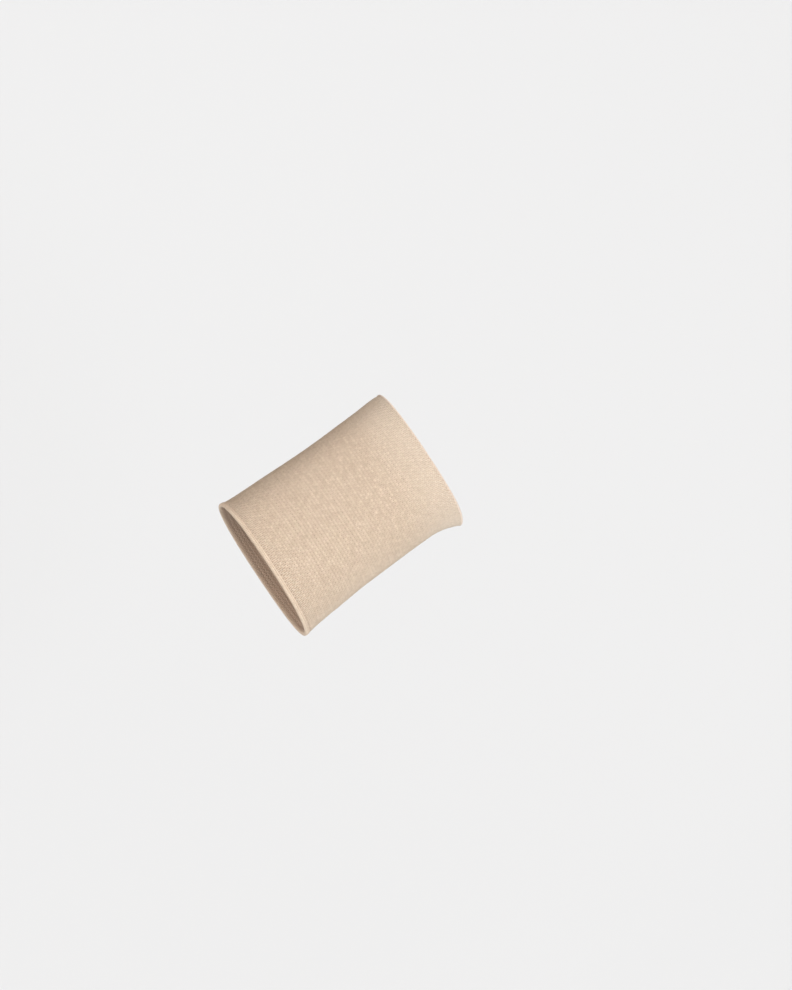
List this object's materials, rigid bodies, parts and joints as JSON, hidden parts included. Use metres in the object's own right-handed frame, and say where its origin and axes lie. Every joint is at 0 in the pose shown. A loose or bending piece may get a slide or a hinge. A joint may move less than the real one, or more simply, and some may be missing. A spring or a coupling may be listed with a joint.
{
  "type": "wrist wrap",
  "caption": "Plain knitted elastic wrist wrap: a seamless tapered tube, open at both ends, in its worn shape with a rounded welt round each end.",
  "frame": {"origin": "on the axis of the wrist that wears the wrap, halfway along the wrap", "axes": "+Y along the axis from the forearm to the hand, +Z out of the back of the hand, +X to the little finger's side of a right wrist"},
  "size_m": [0.0683, 0.083, 0.0499],
  "materials": {
    "knit": "matt beige elastic knit, fine stitches in rings round the tube",
    "welt": "matt, slightly paler and smoother roll of the same knit"
  },
  "bodies": {
    "root": {"sleeve": "knit", "broad_welt": "welt", "fine_welt": "welt"}
  },
  "joints": []
}
